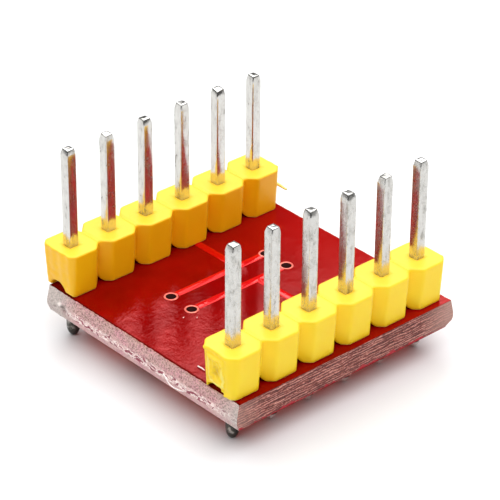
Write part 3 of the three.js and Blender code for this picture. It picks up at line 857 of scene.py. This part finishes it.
def housing_field(side, low, high, ripple):
    """Signed distance to one moulded strip: six octagonal cells with soft edges, rounded feet, a
    vault under the strip, snap grooves on top, and torn ends."""
    centres = np.array([PIN_CENTRES[(side, n)][0] for n in PIN_NUMBERS])
    row_y = PIN_CENTRES[(side, 1)][1]

    def field(x, y, z):
        across = abs(y - row_y)
        height = z - BOARD_TOP
        level = np.clip(height / HOUSING_HEIGHT, 0, 1)
        nearest = np.clip(np.round((x - centres[0]) / PITCH), 0, len(centres) - 1)
        along = abs(x - (centres[0] + nearest * PITCH))
        half = HALF_WIDTH_FOOT + (HALF_WIDTH_TOP - HALF_WIDTH_FOOT) * level
        wall = across - half
        cut = (along + across - (PITCH / 2 + half - CORNER_CUT)) / math.sqrt(2)
        shape = soft_max(wall, cut, EDGE_ROUND)
        snap = PITCH / 2 - along
        inner = (x > centres[0]) & (x < centres[-1])
        groove = GROOVE_DEPTH * np.exp(-(snap / GROOVE_WIDTH) ** 2) * inner
        reach = np.maximum(along, across)
        dish = PIN_DISH_DEPTH * np.clip((PIN_DISH_HALF - reach) / PIN_DISH_SLOPE, 0, 1)
        top = height - (HOUSING_HEIGHT - groove - dish)
        shape = soft_max(shape, top, EDGE_ROUND)
        shape = soft_max(shape, -height, FOOT_EDGE_ROUND)
        for sign, limit in ((-1, low[0]), (1, high[0])):
            lean = FAR_LEFT_LEAN if (side, sign) == ("left", 1) else END_LEAN
            end = sign * (x - limit) + lean * (1 - level)
            torn = end + torn_end(side, sign, y - row_y, height, ripple)
            shape = soft_max(shape, torn, END_EDGE_ROUND)
            shape = np.maximum(shape, foot_round(-end, height, END_FOOT_ROUND))
        shape = np.maximum(shape, np.where(inner, foot_round(snap, height, FOOT_ROUND), -1))
        shift, arch_half, arch_height = ARCHES[side]
        near_end = x < centres[0]
        aside = np.where(near_end, abs(y - row_y - shift) / arch_half, across / VAULT_HALF_WIDTH)
        share = np.where(near_end, height / arch_height, height / VAULT_HEIGHT)
        share = aside ** VAULT_CURVE + np.maximum(share, 0) ** VAULT_CURVE
        vault = (1 - share ** (1 / VAULT_CURVE)) * VAULT_HALF_WIDTH
        near_web = np.minimum(snap, np.minimum(x - low[0], high[0] - x))
        vault = np.minimum(vault, VAULT_REACH - near_web)
        shape = soft_max(shape, vault, FOOT_EDGE_ROUND)
        for burr_side, bx, by, bz, radius in BURRS:
            if burr_side == side:
                blob = np.sqrt((x - bx) ** 2 + (y - by) ** 2 + (z - bz) ** 2) - radius
                shape = -soft_max(-shape, -blob, BURR_BLEND)
        return np.maximum(shape, PIN_HOLE_HALF - reach)

    return field


def foot_round(from_edge, height, radii):
    """Cut-away outside a rounded lower edge."""
    a = np.clip((radii[0] - from_edge) / radii[0], 0, None)
    b = np.clip((radii[1] - height) / radii[1], 0, None)
    return (np.hypot(a, b) - 1) * min(radii)


def torn_end(side, sign, across, height, ripple):
    """How far an end face is set back where the strip was snapped: a scar with a pit."""
    rough = 0.02 * ripple(0.0, across * 3.0, height * 1.2 + 9 * sign)
    rough = rough + 0.02 * ripple(0.0, across * 2.0 + 5, height * 4.5 + 9 * sign)
    if (side, sign) == ("right", -1):
        border = np.minimum(height - SCAR_LOW, SCAR_HIGH - height)
        border = np.minimum(SCAR_HALF_WIDTH - abs(across - SCAR_SHIFT), border)
        scar = np.clip(border / 0.06, 0, 1)
        rim = np.exp(-((border - 0.10) / 0.07) ** 2)
        pit = np.exp(-((across - 0.05) / 0.20) ** 2 - ((height - 1.35) / 0.34) ** 2)
        crumbs = 0.06 * ripple(0.0, across * 5, height * 5)
        return 0.11 - 0.05 * scar - 0.06 * rim + 0.13 * pit + crumbs * (0.25 + 0.75 * scar) + rough
    ridges = 0.015 * np.cos(across * 9.0) * (height > 0.4)
    return 0.03 + ridges + rough


def make_housing(side):
    name = f"header_housing_{side}"
    low, high = box_mm(name)
    ripple = Lattice(11 + SIDES.index(side))
    margin = 2 * GRID_STEP
    field = housing_field(side, low, high, ripple)
    points, quads = surface_net(field, low - margin, high + margin, GRID_STEP)
    points = points.clip(low, high)
    strip = add_object(f"housing_{side}", points, quads.tolist(), [YELLOW[side]])
    return place(strip, "housing", name)


# ---- Circuit board ----------------------------------------------------------------------------

MASK_THICKNESS = 0.02
EDGE_STEP = 0.05
EDGE_LEVELS = 30
VIA_SIDES = 40
VIA_CENTRES = []
for number in VIA_NUMBERS:
    via_low, via_high = box_mm(f"plated_via_{number}")
    VIA_CENTRES.append((via_low + via_high)[:2] / 2)
VIA_RING = (via_high[0] - via_low[0]) / 2 - 0.045
VIA_BORE = 0.28
VIA_BARREL = 0.32
VIA_LIP = 0.02
VIA_AXIS_GAP = 0.002
DARK_RINGS = 2


def circle(centre, radius, count):
    angles = [2 * math.pi * i / count for i in range(count)]
    return [(centre[0] + radius * math.cos(a), centre[1] + radius * math.sin(a)) for a in angles]


def plate(name, outlines, holes, materials, slot_of_side, cap_slots):
    """A closed plate from stacked outer outlines, lowest first, with round holes through it."""
    bm = bmesh.new()
    loops = [[bm.verts.new(np.array(p) * MM) for p in outline] for outline in outlines]
    count = len(loops[0])
    for lower, upper in zip(loops, loops[1:]):
        for i in range(count):
            j = (i + 1) % count
            face = bm.faces.new((lower[i], lower[j], upper[j], upper[i]))
            face.material_index = slot_of_side(i)
    caps = []
    for loop, z, slot in ((loops[0], outlines[0][0][2], cap_slots[0]),
                          (loops[-1], outlines[-1][0][2], cap_slots[1])):
        edges = [bm.edges.get((loop[i], loop[(i + 1) % count])) for i in range(count)]
        rims = []
        for centre, radius in holes:
            rim = [bm.verts.new(Vector((x, y, z)) * MM) for x, y in circle(centre, radius, VIA_SIDES)]
            edges += [bm.edges.new((rim[i], rim[(i + 1) % VIA_SIDES])) for i in range(VIA_SIDES)]
            rims.append(rim)
        filled = bmesh.ops.triangle_fill(bm, edges=edges, use_beauty=True)
        for face in filled["geom"]:
            if isinstance(face, bmesh.types.BMFace):
                face.material_index = slot
        caps.append(rims)
    for lower, upper in zip(*caps):
        for i in range(VIA_SIDES):
            j = (i + 1) % VIA_SIDES
            face = bm.faces.new((lower[i], upper[i], upper[j], lower[j]))
            face.material_index = cap_slots[1]
    bmesh.ops.recalc_face_normals(bm, faces=bm.faces)
    mesh = bpy.data.meshes.new(name)
    bm.to_mesh(mesh)
    bm.free()
    for material in materials:
        mesh.materials.append(material)
    return add_thing(name, mesh)


CORNER_CHIP = 0.17
CORNER_FADE = 0.15
NEAR_RIDGE = (0.80, 1.08)
FAR_RIDGE = (0.52, 0.76)
BULGE_X = (BOARD_HIGH[0] - BOARD_LOW[0]) / 2 - UPPER_HALF_X
BULGE_Y = (BOARD_HIGH[1] - BOARD_LOW[1]) / 2 - UPPER_HALF_Y


def bulge_share(depth, ridge):
    """How much of the edge's bulge is reached at a depth under the upper face, from 0 to 1."""
    thickness = BOARD_TOP - BOARD_UNDERSIDE
    if depth < ridge[0]:
        return depth / ridge[0]
    if depth < ridge[1]:
        return 1.0
    return (thickness - depth) / (thickness - ridge[1])


# The dent's raised lip and its pit: how far out, the middle along the edge and down it, the sizes.
DENT = ((0.06, 1.05, 0.74, 0.3, 0.12), (-0.16, 1.38, 0.92, 0.18, 0.12))


def bump_at(s, depth, s_middle, depth_middle, s_size, depth_size):
    return math.exp(-((s - s_middle) / s_size) ** 2 - ((depth - depth_middle) / depth_size) ** 2)


def edge_reach(side, s, z):
    depth = BOARD_TOP - z
    seed = {"front": 1, "far": 2, "back": 3, "near": 4}[side]
    fine = smooth_noise(s * 7, 0, z * 16, seed)
    if side in ("front", "back"):
        layers = smooth_noise(s * 0.9, 3, z * 11, seed)
        return -0.012 + 0.02 * layers + 0.008 * fine
    torn = math.exp(-((depth - 0.93) / 0.16) ** 2)
    chips = smooth_noise(s * 2.6, 5, z * 3.0, seed)
    out = -0.03 * torn + 0.07 * torn * chips + 0.014 * fine
    if side == "near":
        for amount, *shape in DENT:
            out += amount * bump_at(s, depth, *shape)
    else:
        out += BULGE_X * (bulge_share(depth, FAR_RIDGE) - bulge_share(depth, NEAR_RIDGE))
    return out


def make_board():
    levels = np.linspace(BOARD_UNDERSIDE + MASK_THICKNESS, BOARD_TOP - MASK_THICKNESS, EDGE_LEVELS)
    count_x = round(2 * UPPER_HALF_X / EDGE_STEP)
    count_y = round(2 * UPPER_HALF_Y / EDGE_STEP)
    rings = []
    for z in levels:
        share = bulge_share(BOARD_TOP - z, NEAR_RIDGE)
        half_x = UPPER_HALF_X + BULGE_X * share
        half_y = UPPER_HALF_Y + BULGE_Y * share
        rings.append(fixed_outline(half_x, half_y, z, count_x, count_y, edge_reach))

    def slot_of_side(i):
        front = i < count_x
        back = count_x + count_y <= i < 2 * count_x + count_y
        return 1 if front or back else 0

    vias = [(centre, VIA_BARREL) for centre in VIA_CENTRES]
    core = plate("board_laminate", rings, vias, [SNAPPED, LAYERS], slot_of_side, (0, 0))
    place(core, "board", "circuit_board")
    for name, low, high, lower_face in (
        ("solder_mask_upper", BOARD_TOP - MASK_THICKNESS, BOARD_TOP, 0),
        ("solder_mask_lower", BOARD_UNDERSIDE, BOARD_UNDERSIDE + MASK_THICKNESS, 1),
    ):
        rim = [fixed_outline(UPPER_HALF_X, UPPER_HALF_Y, z, count_x, count_y, mask_reach)
               for z in (low, high)]
        openings = [(centre, VIA_RING) for centre in VIA_CENTRES]
        sheet = plate(name, rim, openings, [MASK, MASK_BELOW], lambda i: 0, (lower_face, 0))
        place(sheet, "board", "circuit_board")


def fixed_outline(half_x, half_y, z, count_x, count_y, reach):
    """Points round the board at one height, always equally many."""
    cx, cy = BOARD_CENTRE[:2]
    points = []
    sides = (
        ("front", count_x, (-1, -1), (1, 0), (0, -1)), ("far", count_y, (1, -1), (0, 1), (1, 0)),
        ("back", count_x, (1, 1), (-1, 0), (0, 1)), ("near", count_y, (-1, 1), (0, -1), (-1, 0)),
    )
    for side, count, corner, along, outward in sides:
        length = 2 * (half_x if along[0] else half_y)
        for i in range(count):
            s = i / count * length
            fade = min(1.0, s / CORNER_FADE, (length - s) / CORNER_FADE)
            out = reach(side, s, z) * fade
            x = cx + corner[0] * half_x + along[0] * s + outward[0] * out
            y = cy + corner[1] * half_y + along[1] * s + outward[1] * out
            away = math.hypot(x - cx - half_x, y - cy + half_y)
            pull = max(0.0, CORNER_CHIP - 0.7 * (z - BOARD_UNDERSIDE) - 0.5 * away)
            points.append((x - pull, y + 0.7 * pull, z))
    return points


def mask_reach(side, s, z):
    seed = {"front": 5, "far": 6, "back": 7, "near": 8}[side]
    ragged = 0.03 * smooth_noise(s * 3.5, 1, 0, seed) + 0.03 * smooth_noise(s * 9, 2, 0, seed)
    if side in ("front", "back"):
        return min(0.0, 0.3 * ragged)
    return min(0.0, ragged - 0.03)


def make_via(number):
    """A plated hole: a rounded ring on each face, a dark barrel, and lacquer over its lower end."""
    centre = VIA_CENTRES[number - 1]
    low, high = box_mm(f"plated_via_{number}")
    profile = [
        (VIA_AXIS_GAP, low[2] + VIA_LIP / 2), (VIA_BORE, low[2] + VIA_LIP),
        (VIA_BORE, high[2] - VIA_LIP), (VIA_BORE + VIA_LIP, high[2]),
        (VIA_RING - VIA_LIP, high[2]), (VIA_RING, BOARD_TOP),
        (VIA_BARREL, BOARD_TOP - VIA_LIP / 4), (VIA_BARREL, BOARD_UNDERSIDE + VIA_LIP / 4),
        (VIA_RING, BOARD_UNDERSIDE), (VIA_RING - VIA_LIP, low[2]), (VIA_AXIS_GAP, low[2]),
    ]
    points = []
    for radius, z in profile:
        points += [(x, y, z) for x, y in circle(centre, radius, VIA_SIDES)]
    faces = ring_faces(len(profile), VIA_SIDES, closed_ends=False)
    # The barrel and its lower end take the painted shade of the hole.
    slots = [1 if i < DARK_RINGS * VIA_SIDES else 0 for i in range(len(faces))]
    last = (len(profile) - 1) * VIA_SIDES
    for i in range(VIA_SIDES):
        j = (i + 1) % VIA_SIDES
        faces.append((last + i, last + j, j, i))
        slots.append(0)
    via = add_object(f"via_{number}", points, faces, [COPPER, HOLE_SHADE], slots)
    return place(via, "copper", f"plated_via_{number}")


TRACK_HALF_WIDTH = 0.24
TRACK_CROWN = 0.010
TRACK_STEP = 0.026
TRACK_STEPS = 20
TRACK_SPACING = 0.1
STUB_OFFSET = 1.42


def crowned_strip(start, end, seed):
    """Points and quads of a lacquered copper strip with a crowned cross-section."""
    along = np.array(end) - np.array(start)
    length = np.hypot(*along)
    along = along / length
    across = np.array([-along[1], along[0]])
    stations = max(2, round(length / TRACK_SPACING))
    points, faces = [], []
    for i in range(stations + 1):
        for k in range(TRACK_STEPS + 1):
            u = 2 * k / TRACK_STEPS - 1
            t = math.copysign(1 - (1 - abs(u)) ** 1.8, u)
            edge = 1 + 0.03 * smooth_noise(i * 0.35, math.copysign(2, t), 0, seed)
            spot = np.array(start) + along * length * i / stations
            spot = spot + across * t * TRACK_HALF_WIDTH * edge
            rise = TRACK_CROWN * (1 - t ** 2) + TRACK_STEP * (1 - abs(t) ** 12)
            points.append((*spot, BOARD_TOP + rise))
    row = TRACK_STEPS + 1
    for i in range(stations):
        for k in range(TRACK_STEPS):
            a = i * row + k
            faces.append((a, a + row, a + row + 1, a + 1))
    return points, faces


def make_track(side):
    """A copper track under the lacquer between two vias, and a stub to a header pin."""
    low, high = box_mm(f"copper_track_{side}")
    vias = [c for c in VIA_CENTRES if low[1] - 0.3 < c[1] < high[1] + 0.3]
    start, end = sorted(vias, key=lambda c: c[0])
    inset = np.array([VIA_RING - 0.02, 0])
    stub_end = high[1] if side == "left" else low[1]
    stub_x = ROWS_CENTRE[0] + STUB_OFFSET
    points, faces, _ = merged([
        crowned_strip(start + inset, end - inset, 3),
        crowned_strip((stub_x, start[1]), (stub_x, stub_end), 4)])
    track = add_object(f"track_{side}", points, faces, [MASK_OVER_COPPER])
    return place(track, "copper", f"copper_track_{side}")


# ---- Loose threads ------------------------------------------------------------------------------

THREAD_SIDES = 10
THREAD_TAPER = 0.45
GLASS_THREADS = (
    ((-7.62, -2.35, 2.33), (-7.66, -2.62, 2.20), (-7.67, -2.85, 2.01), (-7.66, -3.12, 1.94),
     (-7.65, -3.46, 1.96), (-7.63, -3.69, 1.99), (-7.60, -3.90, 2.03)),
    ((-6.58, -3.81, 3.06), (-6.58, -4.12, 3.08), (-6.58, -4.34, 3.06)),
)
DUST_SPECKS = (
    ((-4.16, 0.16, 3.01), (-4.12, 0.16, 3.03), (-4.07, 0.17, 3.01)),
    ((-3.63, -0.32, 3.01), (-3.60, -0.30, 3.03), (-3.56, -0.27, 3.01)),
)
GLASS_THREAD_RADIUS = 0.04
DUST_RADIUS = 0.022
HOUSING_THREAD_RADIUS = 0.11
HOUSING_THREAD = ((7.36, 5.90, 4.32), (7.44, 5.60, 4.30), (7.47, 5.30, 4.26), (7.47, 4.98, 4.24))


def thread_mesh(path, radius):
    """Points and faces of a thin thread along a path, thinner towards its free end."""
    path = [Vector(p) for p in smooth_path(path)]
    points, faces = [], []
    for i, spot in enumerate(path):
        along = (path[min(i + 1, len(path) - 1)] - path[max(i - 1, 0)]).normalized()
        side = along.cross(Vector((0.3, 0.2, 1))).normalized()
        up = side.cross(along)
        reach = radius * (1 - THREAD_TAPER * i / (len(path) - 1))
        for k in range(THREAD_SIDES):
            angle = 2 * math.pi * k / THREAD_SIDES
            points.append(spot + reach * (math.cos(angle) * side + math.sin(angle) * up))
    return points, ring_faces(len(path), THREAD_SIDES)


def smooth_path(path, steps=5):
    """A smooth curve through the points of a path."""
    ends = [2 * np.array(path[0]) - path[1]] + [np.array(p) for p in path]
    ends.append(2 * np.array(path[-1]) - path[-2])
    curve = []
    for a, b, c, d in zip(ends, ends[1:], ends[2:], ends[3:]):
        for i in range(steps):
            t = i / steps
            curve.append(0.5 * (2 * b + (c - a) * t + (2 * a - 5 * b + 4 * c - d) * t ** 2
                                + (3 * b - a - 3 * c + d) * t ** 3))
    curve.append(np.array(path[-1]))
    return curve


def make_threads():
    slender = [(path, GLASS_THREAD_RADIUS) for path in GLASS_THREADS]
    slender += [(path, DUST_RADIUS) for path in DUST_SPECKS]
    for i, (path, radius) in enumerate(slender):
        thread = add_object(f"glass_thread_{i + 1}", *thread_mesh(path, radius), [GLASS])
        place(thread, "board", "circuit_board")
    thread = add_object(
        "housing_thread", *thread_mesh(HOUSING_THREAD, HOUSING_THREAD_RADIUS), [PALE_THREAD])
    place(thread, "housing", "header_housing_left")


# ---- Chip capacitors and resistors ---------------------------------------------------------------

TERMINAL_LENGTH = 0.32
TERMINAL_LIP = 0.03
BLOCK_ROUND = 0.06
BLOCK_INSET = 0.1
FILLET_REACH = 0.34
FILLET_STEPS = 6
FILLET_SHARES = (0.0, 0.15, 0.5, 0.85, 1.0)
PAD_THICKNESS = 0.03
PAD_GAP = 0.002
PAD_MARGIN = 0.06
PAD_INWARD = 0.4
LEAD_FOOT = 0.7
LEAD_PAD_REACH = 0.22


def rounded_block(low, high, radius):
    """Points and faces of a box with rounded edges."""
    bm = bmesh.new()
    bmesh.ops.create_cube(bm, size=1.0)
    for vert in bm.verts:
        vert.co = Vector([h if c > 0 else l for c, l, h in zip(vert.co, low, high)])
    bmesh.ops.bevel(bm, geom=bm.edges[:], offset=radius, segments=3, profile=0.5, affect="EDGES")
    bm.verts.index_update()
    points = [vert.co.copy() for vert in bm.verts]
    faces = [tuple(vert.index for vert in face.verts) for face in bm.faces]
    bm.free()
    return points, faces


def fillet(low, high, axis, sign):
    """Points and faces of a hollow solder fillet in front of a terminal, down from its pad."""
    other = 1 - axis
    edge = high[axis] if sign > 0 else low[axis]
    points, faces = [], []
    for i in range(FILLET_STEPS + 1):
        t = i / FILLET_STEPS
        out = FILLET_REACH * (1 - math.sin(t * math.pi / 2)) ** 1.2
        drop = 0.75 * (high[2] - low[2]) * t ** 1.6
        for share in FILLET_SHARES:
            spot = [0, 0, high[2] - drop]
            spot[axis] = edge + sign * out * (1 - 0.5 * abs(2 * share - 1) ** 3)
            spot[other] = low[other] + (high[other] - low[other]) * share
            points.append(spot)
    row = len(FILLET_SHARES)
    for i in range(FILLET_STEPS):
        for k in range(row - 1):
            a = i * row + k
            faces.append((a, a + 1, a + row + 1, a + row))
    return points, faces


def long_axis(low, high):
    return 0 if high[0] - low[0] > high[1] - low[1] else 1


def end_box(low, high, axis, sign, inward, outward=0.0):
    """The box at one end of a box, reaching so far inward and outward from that end."""
    a, b = low.copy(), high.copy()
    if sign > 0:
        a[axis], b[axis] = high[axis] - inward, high[axis] + outward
    else:
        a[axis], b[axis] = low[axis] - outward, low[axis] + inward
    return a, b


def make_chip_part(name, material):
    """A chip capacitor or resistor: a block with two tinned ends and their solder fillets."""
    low, high = box_mm(name)
    axis = long_axis(low, high)
    inset = np.full(3, TERMINAL_LIP)
    inset[axis] = BLOCK_INSET
    parts = [rounded_block(low + inset, high - inset, BLOCK_ROUND / 2)]
    for sign in (-1, 1):
        end = end_box(low, high, axis, sign, TERMINAL_LENGTH)
        parts += [rounded_block(*end, BLOCK_ROUND), fillet(low, high, axis, sign)]
    points, faces, numbers = merged(parts)
    slots = [(0, 1, 2, 1, 2)[number] for number in numbers]
    part = add_object(f"part_{name}", points, faces, [material, LEAD, PAD_SOLDER], slots)
    return place(part, "ceramic" if material is CERAMIC else "resistor", name)


def pad(low, high, grow_x, grow_y):
    """Points and faces of a soldered pad on the underside, larger than what stands on it."""
    return rounded_block(
        (low[0] - grow_x, low[1] - grow_y, BOARD_UNDERSIDE - PAD_THICKNESS),
        (high[0] + grow_x, high[1] + grow_y, BOARD_UNDERSIDE - PAD_GAP), PAD_THICKNESS / 2.5)


def make_pads():
    """The soldered pads that show round the chip's feet and the small parts' ends."""
    pads = []
    for i in LEAD_NUMBERS:
        low, high = box_mm(f"driver_chip_lead_{i}")
        sign = 1 if low[1] > BOARD_CENTRE[1] else -1
        pads.append(pad(*end_box(low, high, 1, sign, LEAD_FOOT), PAD_MARGIN, LEAD_PAD_REACH))
    for name in CHIP_PARTS:
        low, high = box_mm(name)
        for sign in (-1, 1):
            end = end_box(low, high, long_axis(low, high), sign, PAD_INWARD, FILLET_REACH)
            pads.append(pad(*end, PAD_MARGIN, PAD_MARGIN))
    points, faces, _ = merged(pads)
    thing = add_object("soldered_pads", points, faces, [PAD_SOLDER])
    return place(thing, "solder", "circuit_board")


# ---- CAD nodes that stay ------------------------------------------------------------------------


SOFT_ANGLE = 35


def finish_node(name, material, bevel_mm):
    """A CAD node whose shape is right keeps its mesh, with softened edges and a real finish."""
    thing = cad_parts[name]
    thing.data.materials.clear()
    thing.data.materials.append(material)
    soften = thing.modifiers.new("soft_edges", "BEVEL")
    soften.width = bevel_mm * MM
    soften.segments = 3
    soften.limit_method = "ANGLE"
    soften.angle_limit = math.radians(SOFT_ANGLE)


# ---- Stage ------------------------------------------------------------------------------------

FLOOR_SIZE = 2.0


def make_stage():
    half = FLOOR_SIZE / 2 / MM
    corners = [(-half, -half, 0), (half, -half, 0), (half, half, 0), (-half, half, 0)]
    floor = add_object("floor", corners, [(0, 1, 2, 3)], [FLOOR], smooth=False)


SKY_BRIGHT = 4.22
SKY_TILT = ((0.0, 0.84), (1.0, 1.0))
SKY_BANDS = ((0.63, 0.005), (0.70, 0.90), (0.73, 1.0), (0.80, 0.94), (1.0, 0.62))
CARD_DISTANCE = 1.0
CARD_SIZE = (0.5, 0.14)
CARD_SWING = -2.3
CARD_RISE = 32.50
CARD_ROLL = -5.0
CARD_RADIANCE = 6.0


def make_light():
    """A bright soft dome that fades out about 39 degrees above the horizon, and one soft card
    behind the module that shows as a haze in the lacquer. The card's swing and rise place the
    middle of its lower edge, from straight ahead of the camera and from the horizon."""
    world = bpy.data.worlds.new("studio")
    bpy.context.scene.world = world
    world.use_nodes = True
    tree = world.node_tree
    background = tree.nodes["Background"]
    direction = node(tree, "ShaderNodeTexCoord").outputs["Generated"]
    axes = split(direction)
    dome = grey(axes.z, SKY_BANDS)
    level_x = plus(times(axes.x, 0.5), 0.5)
    dome = blend(1.0, dome, grey(level_x, SKY_TILT), "MULTIPLY")
    tree.links.new(dome, background.inputs["Color"])
    background.inputs["Strength"].default_value = SKY_BRIGHT

    outward = heading(CAMERA_AZIMUTH - CARD_SWING, CARD_RISE)
    across, up = rolled_axes(outward, CARD_ROLL)
    middle = outward * CARD_DISTANCE + up * CARD_SIZE[1] / 2
    data = bpy.data.lights.new("card", "AREA")
    data.shape = "RECTANGLE"
    data.size, data.size_y = CARD_SIZE
    data.energy = CARD_RADIANCE * math.pi * CARD_SIZE[0] * CARD_SIZE[1]
    turn = Matrix((across, up, outward)).transposed().to_4x4()
    add_thing("card", data, Matrix.Translation(middle) @ turn)


make_camera()
make_stage()
make_light()
make_board()
for side in SIDES:
    make_housing(side)
    for number in PIN_NUMBERS:
        make_pin(side, number)
        make_solder_joint(side, number)
for number in VIA_NUMBERS:
    make_via(number)
for side in SIDES:
    make_track(side)
make_threads()
finish_node("driver_chip_body", CHIP, 0.03)
finish_node("driver_chip_thermal_pad", LEAD, 0.01)
for number in LEAD_NUMBERS:
    finish_node(f"driver_chip_lead_{number}", LEAD, 0.02)
for name, material in CHIP_PARTS.items():
    make_chip_part(name, material)
make_pads()

bpy.context.scene.view_settings.view_transform = "Standard"
